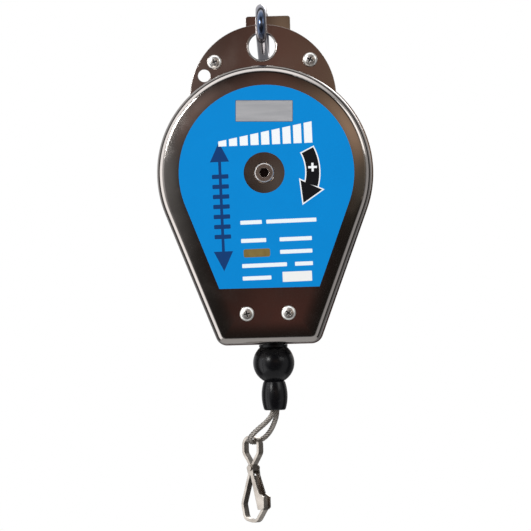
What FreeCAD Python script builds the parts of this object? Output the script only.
import FreeCAD, Part
import math
import os

os.makedirs("parts", exist_ok=True)

# Spring balancer for a hand tool, in millimetres. +Z is up and the labelled front faces -Y.
# Everything is drawn round the drum shaft: its axis is the line X = 0, Z = 0, along Y, and
# Y = 0 is the joint between the front case and the frame plate. write() moves the finished
# pieces so that the origin lies where the hanger carabiner bears on whatever carries it.

# ---------------------------------------------------------------- driving dimensions
CASE_R = 60.0            # round upper part of both cases
FOOT_X = 27.75           # half width of the case at its foot
FOOT_Z = -95.5           # underside of the case
FOOT_CORNER_R = 6.0
SHEET = 1.5              # drawn steel sheet
SHOULDER_R = 4.0         # bend between a case's face and its side
FRONT_DEPTH = 22.0
PLATE_T = 2.5            # frame plate
REAR_DEPTH = 24.0
PLATE_RIM = 0.7          # the frame plate stands this far out of the cases
PLATE_LAND = 5.5         # width of the plate's land that the case rims bear on
EAR_R = 41.0             # round ear of the frame plate
EAR_Z = 42.4
BACKING_T = 3.0          # backing plate behind the ear
BACKING_R = 39.0
BACKING_X = 31.5         # half width of the backing plate
TONGUE_X = (-8.8, 16.1)  # tongue that rises behind the ear
TONGUE_TOP = 88.1
TONGUE_CORNER_R = 1.5
CASE_CLEAR = 0.7         # between the rear case and the backing plate

EYELET_Z = 71.0
EYELET_BORE_R = 7.5
EYELET_R = 8.5
EYELET_PROUD = 0.3
EYELET_ROUND = 0.9

PLATE_SCREW = (26.9, 63.0)      # +-X, Z
CASE_SCREW = (11.65, -78.6)     # +-X, Z
SCREW_R = 2.0                   # M4
SCREW_HOLE_R = 2.2
SCREW_HEAD_R = 4.1
SCREW_HEAD_H = 2.4
SCREW_HEAD_ROUND = 1.5
RECESS = (4.4, 0.9, 1.2)        # cross recess: length and width of a slot, depth
NUT_AF = 7.0
NUT_H = 3.2
SPACER_R = 3.6
CHAIN_HOLE = (-32.8, 55.5)      # X, Z of the safety chain's hole
CHAIN_HOLE_R = 3.5

LABEL_R = 49.0
LABEL_SHIFT = 1.3
LABEL_FOOT_X = 28.0
LABEL_FOOT_Z = -64.3
LABEL_T = 0.3
LABEL_HOLE_R = 11.45

SHAFT_END_R = 5.5
SHAFT_PROUD = 0.6
SHAFT_CHAMFER = 0.7
HEX_AF = 5.0
HEX_DEPTH = 7.0
ARBOR_R = 9.0
ARBOR = (-16.0, 20.0)           # Y of the arbor's two shoulders
SHAFT_SQUARE = 8.0
FIT = 0.05                      # radial clearance of a running fit
BUSH_R = 8.5
BUSH_FLANGE_R = 11.0
BUSH_FLANGE_T = 1.5

ROPE_R = 1.5
ROPE_PITCH = 3.8
ROPE_TURNS = 5.0
WOUND_SIDES = 10
DRUM = (-13.0, 15.5)            # Y of the drum's two ends
DRUM_FLANGE_R = 50.5
DRUM_FLANGE_T = 2.2
WIND_R_FRONT = 46.5             # radius of the rope's centre line where it is fully wound
WIND_R_REAR = 40.5
DRUM_CHAMBER_R = 35.0
DRUM_WEB_T = 3.5
DRUM_HUB_R = 14.0
DRUM_BUSH_R = 11.0
BUSH_LENGTH = 3.2               # the front drum bush
COVER_T = 2.0
COVER_R = 37.5
COVER_SCREW_PCD_R = 36.2
COVER_SCREW_R = 1.0

SPRING_T = 0.7
SPRING_Y = (-9.4, 7.6)
SPRING_TURNS = 12
SPRING_R = (9.5, 34.0)

RATCHET_TEETH = 12
RATCHET_R = (14.5, 17.0)        # root and crest
RATCHET_T = 4.0
RATCHET_GAP = 0.6               # between the rear case and the ratchet wheel
PAWL_PIVOT = (20.5, 17.0)       # X, Z
PAWL_PIN_R = 2.5
PAWL_PLAY = 0.3
LEAF_T = 0.5                    # leaf spring behind the pawl
LEAF_FROM = (10.5, 27.6)        # X, Z of its slotted post and of its free end
LEAF_TO = (27.5, 20.9)
LEAF_POST_R = 2.2
LEAF_SHANK_R = 1.5              # the post's end in the rear case

ROPE_X = 2.0                    # the rope leaves the case here
ROPE_Y = 1.25
GUIDE_NECK_R = 8.0
GUIDE_WAIST_R = 6.0
GUIDE_TUBE_R = 5.0
GUIDE_TOP_Z = -72.0
GUIDE_NECK_Z = -98.6
GUIDE_BORE_R = 1.9
BALL_R = 11.6
BALL_Z = -106.5
BALL_SEAT = 0.3
BARREL_R = 7.3
BARREL_END_R = 5.9
BARREL_Z = (-116.6, -133.1)
FERRULE_R = 3.2
FERRULE_TOP_Z = -96.9
FERRULE_FOOT_Z = -132.7
RUN_TOP_Z = -84.3               # the rope's run below this pulls out of the guide
LEAD_START = 18.0               # the rope's lead is drawn from this far off the drum

LOOP_BOTTOM = (-10.7, -151.0)   # X, Z of the rope's centre line at the foot of the eye
LOOP_TURN = math.radians(50)    # the eye's plane is turned this far about Z
LOOP_R = 7.0
STRAND_GAP = 3.2                # between the two strands at the barrel
EYE_STRAIGHT = 4.0
EYE_BEND_R = 5.0

STRIP_T = 1.5                   # snap hook, bent from strip
STRIP_W = 4.0
HOOK_GAP = 0.7                  # from the rope to the inside of the hook's eye
HOOK_EYE_R = 5.4
HOOK_SET = -0.85                # the hook hangs with its weight, not its eye, under the rope
HOOK_NECK_Z = -12.5             # heights along the hook, from the rope in its eye
HOOK_FOOT_Z = -43.6
HOOK_RIVET_Z = -14.6
HOOK_RIVET_R = 0.8
GATE_T = 0.8                    # sheet of the hook's gate
GATE_PLAY = 0.2
GATE_TOP_X = 0.4                # left face of the gate's web, above and below
GATE_TOP_DROP = 4.2             # the web starts this far under the rivet
GATE_TIP_X = 5.2
GATE_TIP_Z = -38.0

CARABINER_WIRE_R = 3.0
CARABINER_R = (8.5, 12.5)       # centre lines of the narrow and the wide end
CARABINER_LENGTH = 60.0
CARABINER_DROOP = 12.0          # degrees below level, leaning back behind the plate
PIVOT_Z = 83.4                  # centre of the narrow end
GATE_HINGE_S = 9.0              # places along the carabiner's upper leg
NOSE_LENGTH = 1.2
GATE_GAP = 0.35
GATE_R = 2.6
GATE_PIN_R = 1.0
HINGE_R = 2.3
TONGUE_HALF = 1.3

# ---------------------------------------------------------------- places that follow
REAR_Y = PLATE_T + REAR_DEPTH
BACKING_Y = PLATE_T + BACKING_T
PIVOT_Y = BACKING_Y / 2
RATCHET_Y = REAR_Y + RATCHET_GAP
CARABINER_SPAN = CARABINER_LENGTH - sum(CARABINER_R) - 2 * CARABINER_WIRE_R
CARABINER_INSIDE = CARABINER_SPAN + CARABINER_R[1] - CARABINER_WIRE_R
X_AXIS = FreeCAD.Vector(1, 0, 0)
Y_AXIS = FreeCAD.Vector(0, 1, 0)
Z_AXIS = FreeCAD.Vector(0, 0, 1)
PIVOT = FreeCAD.Vector(0, PIVOT_Y, PIVOT_Z)


def vec(x, y, z):
    return FreeCAD.Vector(x, y, z)


def carabiner_point(along, across):
    """A point in the carabiner's plane, from the centre of its narrow end."""
    droop = math.radians(CARABINER_DROOP)
    y = along * math.cos(droop) + across * math.sin(droop)
    z = across * math.cos(droop) - along * math.sin(droop)
    return PIVOT + vec(0, y, z)


ORIGIN = carabiner_point(CARABINER_INSIDE, 0)


def write(name, *shapes):
    """Writes one node: the pieces given, moved to the hanger's origin."""
    shape = shapes[0] if len(shapes) == 1 else Part.makeCompound(list(shapes))
    shape = shape.copy()
    shape.translate(ORIGIN * -1)
    shape.exportStep("parts/" + name + ".step")


# ---------------------------------------------------------------- general forms
def rod(x, z, r, y0, y1):
    """A round bar along Y."""
    return Part.makeCylinder(r, y1 - y0, vec(x, y0, z), Y_AXIS)


def pillar(x, y, r, z0, z1):
    """A round bar along Z."""
    return Part.makeCylinder(r, z1 - z0, vec(x, y, z0), Z_AXIS)


def box(x, y, z):
    """A block between the two values of each pair."""
    return Part.makeBox(x[1] - x[0], y[1] - y[0], z[1] - z[0], vec(x[0], y[0], z[0]))


def flat_face(corners):
    """The flat face whose straight edges join the corners."""
    return Part.Face(Part.makePolygon(corners + corners[:1]))


def prism(points, y0, y1):
    """A polygon in the XZ plane, pushed along Y."""
    return flat_face([vec(x, y0, z) for x, z in points]).extrude(vec(0, y1 - y0, 0))


def hexagon(x, z, across_flats, y0, y1):
    r = across_flats / math.sqrt(3)
    turns = [k * math.pi / 3 for k in range(6)]
    return prism([(x + r * math.cos(a), z + r * math.sin(a)) for a in turns], y0, y1)


def turned(points, centre, axis):
    """A solid of revolution. The points are (radius, place along the axis)."""
    corners = [centre + X_AXIS * r + axis * a for r, a in points]
    return flat_face(corners).revolve(centre, axis, 360)


def tangent_angle(r, x, z, side=1):
    """Where the line from the point (x, z) touches the circle of radius r, on its +X or -X side."""
    return math.atan2(z, x) + side * math.acos(r / math.hypot(x, z))


def round_edges(solid, y, radius):
    """Rounds the edges that lie in the plane Y = y."""
    edges = [e for e in solid.Edges if all(abs(v.Point.y - y) < 1e-6 for v in e.Vertexes)]
    edges = [e for e in edges if abs(e.CenterOfMass.y - y) < 1e-6]
    return solid.makeFillet(radius, edges)


def sweep(wire, section):
    """A section swept along a wire, with mitred corners."""
    shell = Part.BRepOffsetAPI.MakePipeShell(wire)
    shell.setFrenetMode(False)
    shell.setTransitionMode(1)
    shell.add(section)
    shell.build()
    shell.makeSolid()
    return shell.shape()


def bent_edges(points, radii=None):
    """Straight runs joined by tangent arcs. Without radii, each arc is as large as its runs allow."""
    edges = []
    made = []
    start = points[0]
    for k, corner in enumerate(points[1:-1]):
        before = corner - points[k]
        after = points[k + 2] - corner
        turn = before.getAngle(after)
        r = radii[k] if radii else 0.45 * min(before.Length, after.Length) / math.tan(turn / 2)
        back = r * math.tan(turn / 2)
        first = corner - before.normalize() * back
        last = corner + after.normalize() * back
        middle = (first + last) * 0.5
        toward = (corner - middle).normalize()
        if (first - start).Length > 1e-6:
            edges.append(Part.LineSegment(start, first).toShape())
        edges.append(Part.Arc(first, middle + toward * (r - r * math.cos(turn / 2)), last).toShape())
        start = last
        made.append(round(r, 1))
    edges.append(Part.LineSegment(start, points[-1]).toShape())
    return edges, made


def teardrop_wire(r, foot_x, foot_z, corner_r, y, shift=0.0):
    """Round top, straight sides that touch it, and a level foot with rounded or sharp corners."""
    a = tangent_angle(r, foot_x, foot_z)
    touch = vec(r * math.cos(a), 0, r * math.sin(a))
    ends = [vec(-touch.x, 0, touch.z), vec(-foot_x, 0, foot_z), vec(foot_x, 0, foot_z), touch]
    top = Part.Arc(ends[3], vec(0, 0, r), ends[0]).toShape()
    if corner_r:
        sides = bent_edges(ends, [corner_r, corner_r])[0]
    else:
        sides = [Part.LineSegment(p, q).toShape() for p, q in zip(ends, ends[1:])]
    wire = Part.Wire([top] + sides)
    wire.translate(vec(shift, y, 0))
    return wire


def teardrop(grow, y0, y1):
    """The case's outline, grown on every side, as a block from y0 to y1."""
    slope = tangent_angle(CASE_R, FOOT_X, FOOT_Z)
    foot_x = FOOT_X + grow * (1 + math.sin(slope)) / math.cos(slope)
    corner = max(FOOT_CORNER_R + grow, 0.5)
    wire = teardrop_wire(CASE_R + grow, foot_x, FOOT_Z - grow, corner, y0)
    return Part.Face(wire).extrude(vec(0, y1 - y0, 0))


def tube(edges, radius):
    """A round bar along edges that follow each other."""
    wire = Part.Wire(edges)
    first = wire.OrderedEdges[0]
    start = first.valueAt(first.FirstParameter)
    direction = first.tangentAt(first.FirstParameter)
    return sweep(wire, Part.Wire(Part.makeCircle(radius, start, direction)))


# ---------------------------------------------------------------- fasteners
def pan_screw(x, z, y, length):
    """A pan-head cross-recess screw that enters along +Y with its head's seat at y."""
    top = y - SCREW_HEAD_H
    head = round_edges(rod(x, z, SCREW_HEAD_R, top, y), top, SCREW_HEAD_ROUND)
    reach, half, depth = RECESS[0] / 2, RECESS[1] / 2, RECESS[2]
    slots = box((x - reach, x + reach), (top, top + depth), (z - half, z + half))
    slots = slots.fuse(box((x - half, x + half), (top, top + depth), (z - reach, z + reach)))
    return head.fuse(rod(x, z, SCREW_R, y - 0.5, y + length)).cut(slots)


def nut(x, z, y):
    return hexagon(x, z, NUT_AF, y, y + NUT_H).cut(rod(x, z, SCREW_R, y - 1, y + NUT_H + 1))


# ---------------------------------------------------------------- frame and cases
def guide_notch(r):
    """The hole that the rope guide takes in the cases and the frame plate."""
    return pillar(ROPE_X, ROPE_Y, r, FOOT_Z - 5, FOOT_Z + PLATE_LAND + 3)


def frame_plate():
    """The flat frame between the cases, with the ear that the balancer hangs by."""
    plate = teardrop(PLATE_RIM, 0, PLATE_T).fuse(rod(0, EAR_Z, EAR_R, 0, PLATE_T)).removeSplitter()
    plate = plate.cut(teardrop(-PLATE_LAND, -1, PLATE_T + 1))
    plate = plate.cut(rod(0, EYELET_Z, EYELET_R, -1, PLATE_T + 1))
    plate = plate.cut(rod(CHAIN_HOLE[0], CHAIN_HOLE[1], CHAIN_HOLE_R, -1, PLATE_T + 1))
    for side in (-1, 1):
        plate = plate.cut(rod(side * PLATE_SCREW[0], PLATE_SCREW[1], SCREW_HOLE_R, -1, PLATE_T + 1))
    return plate.cut(guide_notch(GUIDE_WAIST_R + 0.1))


def backing_plate():
    """A stiffener behind the ear, shaped to clear the rear case, with a tongue on top."""
    y0, y1 = PLATE_T, BACKING_Y
    sides = box((-BACKING_X, BACKING_X), (y0, y1), (EAR_Z - 2, TONGUE_TOP))
    body = rod(0, EAR_Z, BACKING_R, y0, y1).common(sides)
    tongue = box(TONGUE_X, (y0, y1), (EYELET_Z - 8, TONGUE_TOP))
    middle = (y0 + y1) / 2
    across = [e for e in tongue.Edges if abs(e.CenterOfMass.y - middle) < 1e-6]
    corners = [e for e in across if abs(e.CenterOfMass.z - TONGUE_TOP) < 1e-6 and e.Length < BACKING_T + 1]
    body = body.fuse(tongue.makeFillet(TONGUE_CORNER_R, corners)).removeSplitter()
    body = body.cut(rod(0, 0, CASE_R + CASE_CLEAR, y0 - 1, y1 + 1))
    body = body.cut(rod(0, EYELET_Z, EYELET_R, y0 - 1, y1 + 1))
    body = body.cut(rod(CHAIN_HOLE[0], CHAIN_HOLE[1], CHAIN_HOLE_R + 1.2, y0 - 1, y1 + 1))
    for side in (-1, 1):
        body = body.cut(rod(side * PLATE_SCREW[0], PLATE_SCREW[1], SCREW_HOLE_R, y0 - 1, y1 + 1))
    return body


def eyelet():
    """The steel ring in the ear that the carabiner bears on, with both mouths rounded."""
    y0, y1 = -EYELET_PROUD, BACKING_Y + EYELET_PROUD
    ring = rod(0, EYELET_Z, EYELET_R, y0, y1).cut(rod(0, EYELET_Z, EYELET_BORE_R, y0 - 1, y1 + 1))
    mouths = [e for e in ring.Edges if len(e.Vertexes) == 1 and abs(e.Curve.Radius - EYELET_BORE_R) < 1e-6]
    return ring.makeFillet(EYELET_ROUND, mouths)


def case_shell(y_rim, y_face):
    """A drawn teardrop cup, open at y_rim, with its face at y_face."""
    out = 1 if y_face > y_rim else -1
    low, high = sorted((y_rim, y_face))
    outer = round_edges(teardrop(0, low, high), y_face, SHOULDER_R)
    y_inside = y_face - out * SHEET
    low, high = sorted((y_rim, y_inside))
    inner = round_edges(teardrop(-SHEET, low, high), y_inside, SHOULDER_R - SHEET)
    open_end = teardrop(-SHEET, *sorted((y_rim - out, y_rim + out)))
    return outer.cut(inner.fuse(open_end))


def front_case():
    case = case_shell(0, -FRONT_DEPTH)
    y0, y1 = -FRONT_DEPTH - 1, -FRONT_DEPTH + 3
    case = case.cut(rod(0, 0, SHAFT_END_R + 0.3, y0, y1))
    for side in (-1, 1):
        case = case.cut(rod(side * CASE_SCREW[0], CASE_SCREW[1], SCREW_HOLE_R, y0, y1))
    return case.cut(guide_notch(GUIDE_WAIST_R + 0.1))


def rear_case():
    case = case_shell(PLATE_T, REAR_Y)
    y0, y1 = REAR_Y - 3, REAR_Y + 1
    case = case.cut(rod(0, 0, BUSH_R, y0, y1))
    for side in (-1, 1):
        case = case.cut(rod(side * CASE_SCREW[0], CASE_SCREW[1], SCREW_HOLE_R, y0, y1))
    case = case.cut(rod(PAWL_PIVOT[0], PAWL_PIVOT[1], PAWL_PIN_R, y0, y1))
    case = case.cut(rod(LEAF_FROM[0], LEAF_FROM[1], LEAF_SHANK_R, y0, y1))
    return case.cut(guide_notch(GUIDE_WAIST_R + 0.1))


def face_label():
    """The printed face plate, left plain."""
    y0 = -FRONT_DEPTH - LABEL_T
    wire = teardrop_wire(LABEL_R, LABEL_FOOT_X, LABEL_FOOT_Z, 0, y0, LABEL_SHIFT)
    label = Part.Face(wire).extrude(vec(0, LABEL_T, 0))
    return label.cut(rod(0, 0, LABEL_HOLE_R, y0 - 1, y0 + 1))


def case_spacer(x, z):
    """A tube that keeps the two cases apart round a case screw."""
    y0, y1 = -FRONT_DEPTH + SHEET, REAR_Y - SHEET
    return rod(x, z, SPACER_R, y0, y1).cut(rod(x, z, SCREW_HOLE_R, y0 - 1, y1 + 1))


def front_bush():
    """Flanged bush behind the front face, carrying the shaft's front journal."""
    y0 = -FRONT_DEPTH + SHEET
    bush = rod(0, 0, BUSH_FLANGE_R, y0, y0 + BUSH_FLANGE_T).fuse(rod(0, 0, BUSH_R, y0, ARBOR[0] - 0.3))
    return bush.cut(rod(0, 0, SHAFT_END_R + FIT, y0 - 1, ARBOR[0] + 1))


def rear_bush():
    """Flanged bush in the rear case, carrying the shaft's rear journal."""
    y1 = REAR_Y - SHEET
    bush = rod(0, 0, BUSH_FLANGE_R, y1 - BUSH_FLANGE_T, y1).fuse(rod(0, 0, BUSH_R, ARBOR[1] + 0.3, REAR_Y))
    return bush.cut(rod(0, 0, SHAFT_END_R + FIT, ARBOR[1] - 1, REAR_Y + 1))


def rope_guide():
    """The rope's outlet: a flared mouth inside, a waist gripped by the cases, a neck outside."""
    centre = vec(ROPE_X, ROPE_Y, 0)
    waist = (FOOT_Z - PLATE_RIM - 0.1, FOOT_Z + PLATE_LAND + 0.1)
    outline = [(0, GUIDE_NECK_Z), (GUIDE_NECK_R, GUIDE_NECK_Z), (GUIDE_NECK_R, waist[0]),
               (GUIDE_WAIST_R, waist[0]), (GUIDE_WAIST_R, waist[1]), (GUIDE_NECK_R - 0.5, waist[1]),
               (GUIDE_NECK_R - 0.5, waist[1] + 1.5), (GUIDE_TUBE_R, waist[1] + 2.5),
               (GUIDE_TUBE_R, GUIDE_TOP_Z), (0, GUIDE_TOP_Z)]
    body = turned(outline, centre, Z_AXIS)
    bore = pillar(ROPE_X, ROPE_Y, GUIDE_BORE_R, GUIDE_NECK_Z - 1, GUIDE_TOP_Z + 1)
    mouth = Part.makeCone(GUIDE_BORE_R, GUIDE_TUBE_R - 0.5, 8, centre + vec(0, 0, GUIDE_TOP_Z - 8), Z_AXIS)
    seat = Part.makeSphere(BALL_R + BALL_SEAT, vec(ROPE_X, ROPE_Y, BALL_Z))
    return body.cut(bore).cut(mouth).cut(seat)


# ---------------------------------------------------------------- shaft, ratchet and pawl
def main_shaft():
    """Hex socket in front, an arbor with the spring's slot, a square for the ratchet."""
    front = -FRONT_DEPTH - SHAFT_PROUD
    end = RATCHET_Y + RATCHET_T
    c = SHAFT_CHAMFER
    outline = [(0, front), (SHAFT_END_R - c, front), (SHAFT_END_R, front + c), (SHAFT_END_R, ARBOR[0]),
               (ARBOR_R, ARBOR[0]), (ARBOR_R, ARBOR[1]), (SHAFT_END_R, ARBOR[1]),
               (SHAFT_END_R, end + 3.2), (SHAFT_END_R - c, end + 3.2 + c), (0, end + 3.2 + c)]
    shaft = turned(outline, vec(0, 0, 0), Y_AXIS)
    half = SHAFT_SQUARE / 2
    square = box((-half, half), (RATCHET_Y, end), (-half, half))
    collar = rod(0, 0, SHAFT_END_R + 1, RATCHET_Y, end)
    shaft = shaft.cut(collar.cut(square))
    groove = rod(0, 0, SHAFT_END_R + 1, end + 0.4, end + 1.5)
    groove = groove.cut(rod(0, 0, SHAFT_END_R - 0.9, end + 0.4, end + 1.5))
    shaft = shaft.cut(groove)
    shaft = shaft.cut(hexagon(0, 0, HEX_AF, front - 1, front + HEX_DEPTH))
    slot = box((-0.8, 0.8), SPRING_Y, (ARBOR_R - 2.8, ARBOR_R + 1))
    return shaft.cut(slot)


def shaft_clip():
    """Retaining ring in the groove behind the ratchet wheel."""
    y0 = RATCHET_Y + RATCHET_T + 0.45
    ring = rod(0, 0, SHAFT_END_R + 2.2, y0, y0 + 1).cut(rod(0, 0, SHAFT_END_R - 0.85, y0 - 1, y0 + 2))
    gap = box((-1.6, 1.6), (y0 - 1, y0 + 2), (-SHAFT_END_R - 3, 0))
    return ring.cut(gap)


def ratchet_wheel():
    """Teeth with a face along the radius and a ramp that falls to the next face."""
    root, crest = RATCHET_R
    points = []
    for k in range(RATCHET_TEETH):
        for step in range(4):
            share = step / 3
            a = (k + share * 0.999) * 2 * math.pi / RATCHET_TEETH
            r = crest - (crest - root) * share
            points.append((r * math.sin(a), r * math.cos(a)))
    wheel = prism(points, RATCHET_Y, RATCHET_Y + RATCHET_T)
    half = SHAFT_SQUARE / 2 + 0.02
    hole = box((-half, half), (RATCHET_Y - 1, RATCHET_Y + RATCHET_T + 1), (-half, half))
    return wheel.cut(hole)


def pawl():
    """A hooked finger: its tip rests against a tooth's face, its tab is for the thumb."""
    px, pz = PAWL_PIVOT
    y0, y1 = RATCHET_Y, RATCHET_Y + RATCHET_T
    tip_x = RATCHET_R[0] + PAWL_PLAY
    finger = [(tip_x, 0.5), (tip_x + 3.2, 0.3), (px - 0.2, 4.0), (px + 3.6, 9.5), (px + 4.4, pz),
              (px - 4.0, pz), (tip_x + 2.1, 8.0)]
    tab = [(px + 1.5, 6.5), (px + 9.5, 3.0), (px + 10.6, 6.0), (px + 3.5, 11.5)]
    nose = [(px + 1.0, pz + 4.0), (px + 4.6, pz + 3.9), (px + 4.6, pz - 1.0), (px, pz)]
    body = rod(px, pz, 4.6, y0, y1)
    for outline in (finger, tab, nose):
        body = body.fuse(prism(outline, y0, y1))
    return body.removeSplitter().cut(rod(px, pz, PAWL_PIN_R + FIT, y0 - 1, y1 + 1))


def pawl_pin():
    """Riveted into the rear case, with a head that keeps the pawl on."""
    px, pz = PAWL_PIVOT
    pin = rod(px, pz, PAWL_PIN_R, REAR_Y - SHEET, RATCHET_Y + RATCHET_T + 0.3)
    shoulder = rod(px, pz, 4.2, REAR_Y, RATCHET_Y - 0.1)
    head = rod(px, pz, 4.0, RATCHET_Y + RATCHET_T + 0.2, RATCHET_Y + RATCHET_T + 1.8)
    inner = rod(px, pz, 3.6, REAR_Y - SHEET - 1.0, REAR_Y - SHEET)
    return pin.fuse(shoulder).fuse(head).fuse(inner)


def pawl_spring():
    """A straight leaf from its slotted post to just above the pawl's nose."""
    start, end = vec(LEAF_FROM[0], 0, LEAF_FROM[1]), vec(LEAF_TO[0], 0, LEAF_TO[1])
    way = (end - start).normalize()
    up = way.cross(Y_AXIS) * -LEAF_T
    root = start - way * LEAF_POST_R
    corners = [root, end, end + up, root + up]
    return prism([(c.x, c.z) for c in corners], RATCHET_Y + 0.4, RATCHET_Y + RATCHET_T - 0.4)


def spring_post():
    x, z = LEAF_FROM
    top = RATCHET_Y + RATCHET_T
    post = rod(x, z, LEAF_POST_R, RATCHET_Y - 0.1, top)
    post = post.fuse(rod(x, z, LEAF_SHANK_R, REAR_Y - SHEET, RATCHET_Y))
    return post.cut(pawl_spring())


# ---------------------------------------------------------------- drum and mainspring
def wind_radius(y):
    """Radius of the wound rope's centre line: the drum tapers towards the rear."""
    y0, y1 = wind_span()
    return WIND_R_FRONT + (WIND_R_REAR - WIND_R_FRONT) * (y - y0) / (y1 - y0)


def wind_span():
    """Y of the rope's first and last turns."""
    middle = sum(DRUM) / 2
    half = ROPE_PITCH * ROPE_TURNS / 2
    return middle - half, middle + half


def lead_angle():
    """Where the rope leaves the drum for the guide's mouth."""
    return tangent_angle(WIND_R_FRONT, ROPE_X, GUIDE_TOP_Z, -1)


def wound_wire():
    """The rope's centre line on the drum: half circles, each tipped and narrower than the last."""
    y0, y1 = wind_span()
    ends = []
    for k in range(int(2 * ROPE_TURNS) + 1):
        y = y0 + ROPE_PITCH * k / 2
        ends.append(vec(wind_radius(y) * (-1) ** k, y, 0))
    edges = []
    for k, (first, last) in enumerate(zip(ends, ends[1:])):
        bulge = Z_AXIS * (-(-1) ** k * (last - first).Length / 2)
        edges.append(Part.Arc(first, (first + last) * 0.5 + bulge, last).toShape())
    wire = Part.Wire(edges)
    wire.rotate(vec(0, 0, 0), Y_AXIS, -math.degrees(lead_angle()))
    return wire


def end_of(wire):
    """The last point of the wound rope and its direction there."""
    edge = wire.OrderedEdges[-1]
    return edge.valueAt(edge.LastParameter), edge.tangentAt(edge.LastParameter)


def along_wire(wire, radius):
    """A ten-sided section carried along the wound rope's half circles: the rope is out of sight here."""
    first = wire.OrderedEdges[0]
    start = first.valueAt(first.FirstParameter)
    ahead = first.tangentAt(first.FirstParameter)
    aside = ahead.cross(Y_AXIS).normalize()
    rim = []
    for k in range(WOUND_SIDES):
        corner = Part.Vertex(start + aside * radius)
        corner.rotate(start, ahead, 360 * k / WOUND_SIDES)
        rim.append(corner.Point)
    section = flat_face(rim)
    turns = []
    for edge in wire.OrderedEdges:
        centre, axis = edge.Curve.Center, edge.Curve.Axis
        turns.append(section.revolve(centre, axis, 180))
        section = section.copy()
        section.rotate(centre, axis, 180)
    return turns[0].multiFuse(turns[1:])


def cover_screw_places():
    """X and Z of the screws that hold the lid on the drum."""
    turns = [math.radians(90 + 120 * k) for k in range(3)]
    return [(COVER_SCREW_PCD_R * math.cos(a), COVER_SCREW_PCD_R * math.sin(a)) for a in turns]


def cable_drum():
    """A tapered drum with a spiral groove outside and the spring's chamber inside."""
    y0, y1 = DRUM
    t = DRUM_FLANGE_T
    front_r, rear_r = wind_radius(y0 + t), wind_radius(y1 - t)
    web, hub = y1 - DRUM_WEB_T, y1 - DRUM_WEB_T - 4
    outline = [(DRUM_CHAMBER_R, y0 + COVER_T), (COVER_R, y0 + COVER_T), (COVER_R, y0),
               (DRUM_FLANGE_R, y0), (DRUM_FLANGE_R, y0 + t), (front_r, y0 + t), (rear_r, y1 - t),
               (DRUM_FLANGE_R - 3, y1 - t), (DRUM_FLANGE_R - 3, y1), (DRUM_BUSH_R, y1),
               (DRUM_BUSH_R, hub), (DRUM_HUB_R, hub), (DRUM_HUB_R, web), (DRUM_CHAMBER_R, web)]
    drum = turned(outline, vec(0, 0, 0), Y_AXIS)
    groove = along_wire(wound_wire(), ROPE_R + 0.15)
    drum = drum.cut(groove).cut(anchor_bar(2.4, 7))
    for x, z in cover_screw_places():
        drum = drum.cut(rod(x, z, COVER_SCREW_R, y0 + COVER_T, y0 + 8))
    return drum


def spring_cover():
    """The lid of the spring's chamber, with a hub for the front bush."""
    y0 = DRUM[0]
    rim = COVER_R - FIT
    outline = [(DRUM_BUSH_R, y0), (rim, y0), (rim, y0 + COVER_T), (DRUM_HUB_R, y0 + COVER_T),
               (DRUM_HUB_R, y0 + BUSH_LENGTH), (DRUM_BUSH_R, y0 + BUSH_LENGTH)]
    cover = turned(outline, vec(0, 0, 0), Y_AXIS)
    for x, z in cover_screw_places():
        cover = cover.cut(rod(x, z, COVER_SCREW_R + 0.2, y0 - 1, y0 + 4))
    return cover


def cover_screw(x, z):
    y0 = DRUM[0]
    head = round_edges(rod(x, z, 2 * COVER_SCREW_R, y0 - 1.2, y0), y0 - 1.2, 0.8)
    return head.fuse(rod(x, z, COVER_SCREW_R, y0 - 0.2, y0 + 7))


def drum_bush(y0, y1):
    return rod(0, 0, DRUM_BUSH_R, y0, y1).cut(rod(0, 0, ARBOR_R + FIT, y0 - 1, y1 + 1))


def spiral_edges(r0, step, turns, y):
    """A spiral of half-turn arcs, each a little larger than the last."""
    edges = []
    point = vec(0, y, r0)
    side = 1
    r = r0
    for k in range(2 * turns):
        r += step / 4
        centre = point - vec(0, 0, side * r)
        far = centre - vec(0, 0, side * r)
        edges.append(Part.Arc(point, centre + vec(side * r, 0, 0), far).toShape())
        point = far
        side = -side
        r += step / 4
    return edges, point


def mainspring():
    """The flat strip wound round the arbor, with its inner end bent into the arbor's slot."""
    y0 = SPRING_Y[0]
    step = (SPRING_R[1] - SPRING_R[0]) / SPRING_TURNS
    inner, inner_end = spiral_edges(SPRING_R[0], step, SPRING_TURNS, y0)
    outer, outer_end = spiral_edges(SPRING_R[0] + SPRING_T, step, SPRING_TURNS, y0)
    tab = ARBOR_R - 2.4
    start = outer[0].Vertexes[0].Point
    path = [vec(0, y0, SPRING_R[0]), vec(0, y0, tab), vec(-0.6, y0, tab), vec(-0.6, y0, start.z), start]
    closing = [Part.LineSegment(a, b).toShape() for a, b in zip(path, path[1:])]
    closing.append(Part.LineSegment(inner_end, outer_end).toShape())
    wire = Part.Wire(Part.__sortEdges__(inner + outer + closing))
    return Part.Face(wire).extrude(vec(0, SPRING_Y[1] - y0, 0))


def anchor_bar(r, length):
    """A bar in line with the rope's inner end."""
    end, direction = end_of(wound_wire())
    return Part.makeCylinder(r, length, end, direction)


def rope_anchor():
    """The crimped stop on the rope's inner end, sunk in a pocket of the drum."""
    return anchor_bar(2.3, 6)


# ---------------------------------------------------------------- rope and what is on it
def rope_lead():
    """The rope from just off the drum to the guide's mouth, and down into the guide."""
    a = lead_angle()
    leave = vec(WIND_R_FRONT * math.cos(a), wind_span()[0], WIND_R_FRONT * math.sin(a))
    corner = vec(ROPE_X, ROPE_Y, GUIDE_TOP_Z - 1)
    start = leave + (corner - leave).normalize() * LEAD_START
    edges, radii = bent_edges([start, corner, vec(ROPE_X, ROPE_Y, RUN_TOP_Z)])
    print("rope lead bend radii", radii)
    return tube(edges, ROPE_R)


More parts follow.
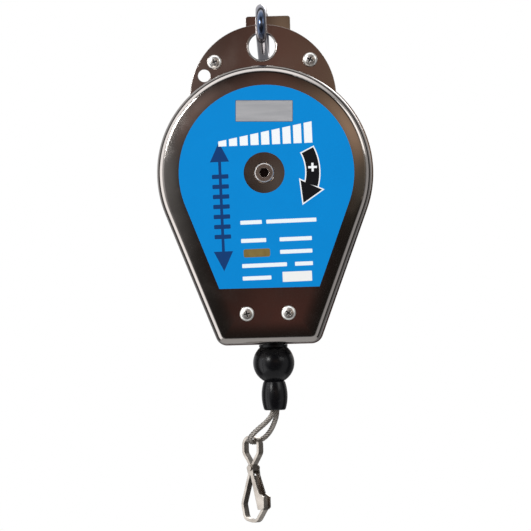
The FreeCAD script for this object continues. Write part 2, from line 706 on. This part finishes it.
def rope_run():
    """The rope between the guide and the ball, as short as it gets when fully wound."""
    return pillar(ROPE_X, ROPE_Y, ROPE_R, FERRULE_TOP_Z, RUN_TOP_Z)


def bored(solid):
    """A solid on the rope's line, with the hole that the ferrule fills."""
    reach = solid.BoundBox
    return solid.cut(pillar(ROPE_X, ROPE_Y, FERRULE_R, reach.ZMin - 1, reach.ZMax + 1))


def ball_stop():
    return bored(Part.makeSphere(BALL_R, vec(ROPE_X, ROPE_Y, BALL_Z)))


def barrel():
    """The smaller barrel-shaped buffer under the ball."""
    top, bottom = BARREL_Z
    middle = (top + bottom) / 2
    centre = vec(ROPE_X, ROPE_Y, 0)
    arc = Part.Arc(centre + vec(BARREL_END_R, 0, top), centre + vec(BARREL_R, 0, middle),
                   centre + vec(BARREL_END_R, 0, bottom)).toShape()
    ends = [centre + vec(BARREL_END_R, 0, bottom), centre + vec(0, 0, bottom), centre + vec(0, 0, top),
            centre + vec(BARREL_END_R, 0, top)]
    lines = [Part.LineSegment(a, b).toShape() for a, b in zip(ends, ends[1:])]
    body = Part.Face(Part.Wire([arc] + lines)).revolve(centre, Z_AXIS, 360)
    rims = [e for e in body.Edges if len(e.Vertexes) == 1 and abs(e.Curve.Radius - BARREL_END_R) < 1e-6]
    body = body.makeFillet(1.2, rims)
    cup = Part.makeSphere(BALL_R, vec(ROPE_X, ROPE_Y, BALL_Z))
    return bored(body.cut(cup))


def ferrule():
    """The crimp inside the ball and the barrel that joins the rope to its eye."""
    return pillar(ROPE_X, ROPE_Y, FERRULE_R, FERRULE_FOOT_Z, FERRULE_TOP_Z)


def eye_axes():
    """The eye's upper end, its foot, the way between them and the way across."""
    start = vec(ROPE_X, ROPE_Y, FERRULE_FOOT_Z - EYE_STRAIGHT)
    across = vec(math.cos(LOOP_TURN), math.sin(LOOP_TURN), 0)
    dx = LOOP_BOTTOM[0] - ROPE_X
    foot = vec(LOOP_BOTTOM[0], ROPE_Y - dx / math.tan(LOOP_TURN), LOOP_BOTTOM[1])
    along = (foot - start).normalize()
    return start, foot, along, across


def rope_eye():
    """The rope's end turned back on itself: two strands and the bend that carries the hook."""
    start, foot, along, across = eye_axes()
    reach = (foot - start).Length - LOOP_R
    half = STRAND_GAP / 2
    distance = math.hypot(reach, half)
    tilt = math.asin(LOOP_R / distance) - math.atan(half / reach)
    run = math.sqrt(distance * distance - LOOP_R * LOOP_R)
    touches = []
    sides = []
    for side in (1, -1):
        corner = start + across * (side * half)
        touch = corner + (across * (side * math.sin(tilt)) + along * math.cos(tilt)) * run
        edges, radii = bent_edges([corner + Z_AXIS * EYE_STRAIGHT, corner, touch], [EYE_BEND_R])
        sides.append(edges)
        touches.append(touch)
    print("rope eye bend radii", radii, LOOP_R)
    bend = Part.Arc(touches[0], foot, touches[1]).toShape()
    edges = Part.__sortEdges__(sides[0] + [bend] + sides[1])
    return tube(edges, ROPE_R)


# ---------------------------------------------------------------- snap hook
def place_hook(solid, foot):
    solid = solid.copy()
    solid.translate(vec(HOOK_SET, 0, 0))
    solid.rotate(vec(0, 0, 0), Z_AXIS, math.degrees(LOOP_TURN) - 90)
    solid.translate(foot)
    return solid


def strip(path, width, thickness):
    """Strip metal bent along a path in the hook's plane: (x, z, bend radius)."""
    points = [vec(x, 0, z) for x, z, r in path]
    edges, radii = bent_edges(points, [r for x, z, r in path[1:-1]])
    wire = Part.Wire(edges)
    along = (points[1] - points[0]).normalize()
    side = along.cross(Y_AXIS).normalize()
    out = side * (thickness / 2)
    up = Y_AXIS * (width / 2)
    start = points[0]
    corners = [start - out - up, start + out - up, start + out + up, start - out + up]
    return sweep(wire, Part.makePolygon(corners + corners[:1]))


def hook_top():
    """Height of the strip's centre line at the top of the hook's eye."""
    return ROPE_R + HOOK_GAP + STRIP_T / 2


def hook_frame():
    """One strip: the eye, the neck, the long leg, the foot and the nose."""
    top = hook_top()
    w = HOOK_EYE_R
    path = [
        (0.9, HOOK_NECK_Z - 3.6, 0),
        (0.9, HOOK_NECK_Z, 2.0),
        (w, HOOK_NECK_Z + 6.5, 3.5),
        (w, top, w - 0.6),
        (-w, top, w - 0.6),
        (-w, HOOK_NECK_Z + 6.5, 3.5),
        (-0.9, HOOK_NECK_Z, 2.0),
        (-1.4, HOOK_NECK_Z - 5.0, 8.0),
        (-7.2, HOOK_FOOT_Z + 9.0, 3.5),
        (-5.6, HOOK_FOOT_Z + 0.4, 4.0),
        (2.5, HOOK_FOOT_Z - 1.4, 4.0),
        (8.4, HOOK_FOOT_Z + 6.5, 3.0),
        (7.6, HOOK_FOOT_Z + 13.5, 0),
    ]
    body = strip(path, STRIP_W, STRIP_T)
    rivet = rod(0, HOOK_RIVET_Z, HOOK_RIVET_R, -STRIP_W, STRIP_W)
    return place_hook(body.cut(rivet), eye_axes()[1])


def hook_gate():
    """A pressed channel that closes the hook from inside: web, two cheeks and two ears."""
    inner = STRIP_W / 2 + GATE_PLAY
    outer = inner + GATE_T
    top_z = HOOK_RIVET_Z - GATE_TOP_DROP
    web = prism([(GATE_TOP_X, top_z), (GATE_TOP_X + 1.0, top_z), (GATE_TIP_X + 1.0, GATE_TIP_Z),
                 (GATE_TIP_X, GATE_TIP_Z)], -outer, outer)
    side = prism([(-1.9, HOOK_RIVET_Z + 0.6), (1.9, HOOK_RIVET_Z + 0.6), (2.6, top_z),
                  (GATE_TIP_X + 1.2, GATE_TIP_Z + 9.0), (GATE_TIP_X + 4.6, GATE_TIP_Z + 7.2),
                  (GATE_TIP_X + 4.6, GATE_TIP_Z + 1.2), (GATE_TIP_X + 3.2, GATE_TIP_Z),
                  (GATE_TIP_X, GATE_TIP_Z), (GATE_TOP_X, top_z), (-1.9, top_z + 2.0)], -outer, outer)
    ear = rod(0, HOOK_RIVET_Z, 2.1, -outer, outer)
    room = box((-8, 20), (-inner, inner), (-60, 10))
    cheeks = side.fuse(ear).cut(room)
    gate = web.fuse(cheeks).removeSplitter()
    gate = gate.cut(rod(0, HOOK_RIVET_Z, HOOK_RIVET_R + FIT, -outer - 1, outer + 1))
    return place_hook(gate, eye_axes()[1])


def hook_rivet():
    """Through the gate's ears and between the two strips of the neck."""
    reach = STRIP_W / 2 + GATE_PLAY + GATE_T + 0.1
    pin = rod(0, HOOK_RIVET_Z, HOOK_RIVET_R, -reach, reach)
    for side in (-1, 1):
        low, high = sorted((side * reach, side * (reach + 0.7)))
        pin = pin.fuse(rod(0, HOOK_RIVET_Z, 1.6, low, high))
    return place_hook(pin, eye_axes()[1])


# ---------------------------------------------------------------- hanger carabiner
def leg_axes():
    """The upper leg's first point and direction, as (along, across), and its length."""
    rise = (CARABINER_R[1] - CARABINER_R[0]) / CARABINER_SPAN
    level = math.sqrt(1 - rise * rise)
    first = (-CARABINER_R[0] * rise, CARABINER_R[0] * level)
    return first, (level, rise), CARABINER_SPAN * level


def leg_point(s):
    """A point of the upper leg's centre line."""
    first, way, length = leg_axes()
    return carabiner_point(first[0] + way[0] * s, first[1] + way[1] * s)


def leg_direction():
    return (leg_point(1) - leg_point(0)).normalize()


def leg_bar(r, s0, s1):
    return Part.makeCylinder(r, s1 - s0, leg_point(s0), leg_direction())


def cross_bar(s, r, half):
    """A round bar along X through the upper leg at s."""
    return Part.makeCylinder(r, 2 * half, leg_point(s) - vec(half, 0, 0), X_AXIS)


def carabiner():
    """The bent bar: a narrow end in the eyelet, a wide end, and a gap closed by the gate."""
    first, way, length = leg_axes()
    narrow, wide = CARABINER_R
    low_first = carabiner_point(first[0], -first[1])
    low_last = carabiner_point(first[0] + way[0] * length, -first[1] - way[1] * length)
    high_last = leg_point(length)
    edges = [
        Part.LineSegment(leg_point(GATE_HINGE_S - HINGE_R - 0.4), leg_point(0)).toShape(),
        Part.Arc(leg_point(0), carabiner_point(-narrow, 0), low_first).toShape(),
        Part.LineSegment(low_first, low_last).toShape(),
        Part.Arc(low_last, carabiner_point(CARABINER_SPAN + wide, 0), high_last).toShape(),
        Part.LineSegment(high_last, leg_point(length - NOSE_LENGTH)).toShape(),
    ]
    bar = tube(edges, CARABINER_WIRE_R)
    tongue = leg_bar(CARABINER_WIRE_R, GATE_HINGE_S - HINGE_R - 0.5, GATE_HINGE_S + HINGE_R)
    tongue = tongue.common(cross_bar(GATE_HINGE_S, HINGE_R, TONGUE_HALF).fuse(tongue_block()))
    bar = bar.fuse(tongue)
    return bar.cut(cross_bar(GATE_HINGE_S, GATE_PIN_R, 10))


def tongue_block():
    """The flattened length between the round bar and the hinge."""
    way = leg_direction()
    across = way.cross(X_AXIS).normalize()
    corner = leg_point(GATE_HINGE_S - HINGE_R - 0.5) - vec(TONGUE_HALF, 0, 0) - across * HINGE_R
    wide = vec(2 * TONGUE_HALF, 0, 0)
    high = across * (2 * HINGE_R)
    face = flat_face([corner, corner + wide, corner + wide + high, corner + high])
    return face.extrude(way * (HINGE_R + 0.5))


def carabiner_gate():
    """A round bar, forked over the tongue at its hinge."""
    tip = leg_axes()[2] - NOSE_LENGTH - GATE_GAP
    body = leg_bar(GATE_R, GATE_HINGE_S, tip)
    eye = leg_bar(GATE_R, GATE_HINGE_S - GATE_R, GATE_HINGE_S + GATE_R)
    eye = eye.common(cross_bar(GATE_HINGE_S, GATE_R, GATE_R))
    slot = cross_bar(GATE_HINGE_S, HINGE_R + 1.2, TONGUE_HALF + 0.15)
    gate = body.fuse(eye).cut(slot)
    return gate.cut(cross_bar(GATE_HINGE_S, GATE_PIN_R + FIT, 10))


def gate_pin():
    return cross_bar(GATE_HINGE_S, GATE_PIN_R, GATE_R)


def build():
    write("frame_plate", frame_plate())
    write("hanger_backing", backing_plate())
    write("hanger_eyelet", eyelet())
    (x, z), length = PLATE_SCREW, BACKING_Y + NUT_H + 1
    write("plate_screws", pan_screw(-x, z, 0, length), pan_screw(x, z, 0, length))
    write("plate_nuts", nut(-x, z, BACKING_Y), nut(x, z, BACKING_Y))
    write("front_case", front_case())
    write("rear_case", rear_case())
    write("face_label", face_label())
    (x, z), front, length = CASE_SCREW, -FRONT_DEPTH, FRONT_DEPTH + REAR_Y + NUT_H + 1
    write("case_screws", pan_screw(-x, z, front, length), pan_screw(x, z, front, length))
    write("case_nuts", nut(-x, z, REAR_Y), nut(x, z, REAR_Y))
    write("case_spacers", case_spacer(-x, z), case_spacer(x, z))
    write("front_shaft_bush", front_bush())
    write("rear_shaft_bush", rear_bush())
    write("rope_guide_bush", rope_guide())
    write("main_shaft", main_shaft())
    write("shaft_clip", shaft_clip())
    write("ratchet_wheel", ratchet_wheel())
    write("tension_pawl", pawl())
    write("pawl_pin", pawl_pin())
    write("pawl_spring", pawl_spring())
    write("spring_post", spring_post())
    write("cable_drum", cable_drum())
    write("spring_cover", spring_cover())
    write("cover_screws", *[cover_screw(x, z) for x, z in cover_screw_places()])
    write("front_drum_bush", drum_bush(DRUM[0], DRUM[0] + BUSH_LENGTH))
    write("rear_drum_bush", drum_bush(DRUM[1] - DRUM_WEB_T - 4, DRUM[1]))
    write("mainspring", mainspring())
    write("rope_on_drum", along_wire(wound_wire(), ROPE_R))
    write("rope_anchor", rope_anchor())
    write("rope_lead", rope_lead())
    write("rope_run", rope_run())
    write("ball_stop", ball_stop())
    write("rope_barrel", barrel())
    write("rope_ferrule", ferrule())
    write("rope_eye", rope_eye())
    write("hook_frame", hook_frame())
    write("hook_gate", hook_gate())
    write("hook_rivet", hook_rivet())
    write("hanger_carabiner", carabiner())
    write("carabiner_gate", carabiner_gate())
    write("carabiner_pin", gate_pin())
    pivot = leg_point(GATE_HINGE_S) - ORIGIN
    foot = eye_axes()[1] - ORIGIN
    rivet = place_hook(Part.Vertex(0, 0, HOOK_RIVET_Z), foot).Point
    print("carabiner gate pivot", pivot)
    print("rope in hook", foot, "hook rivet", rivet)


build()
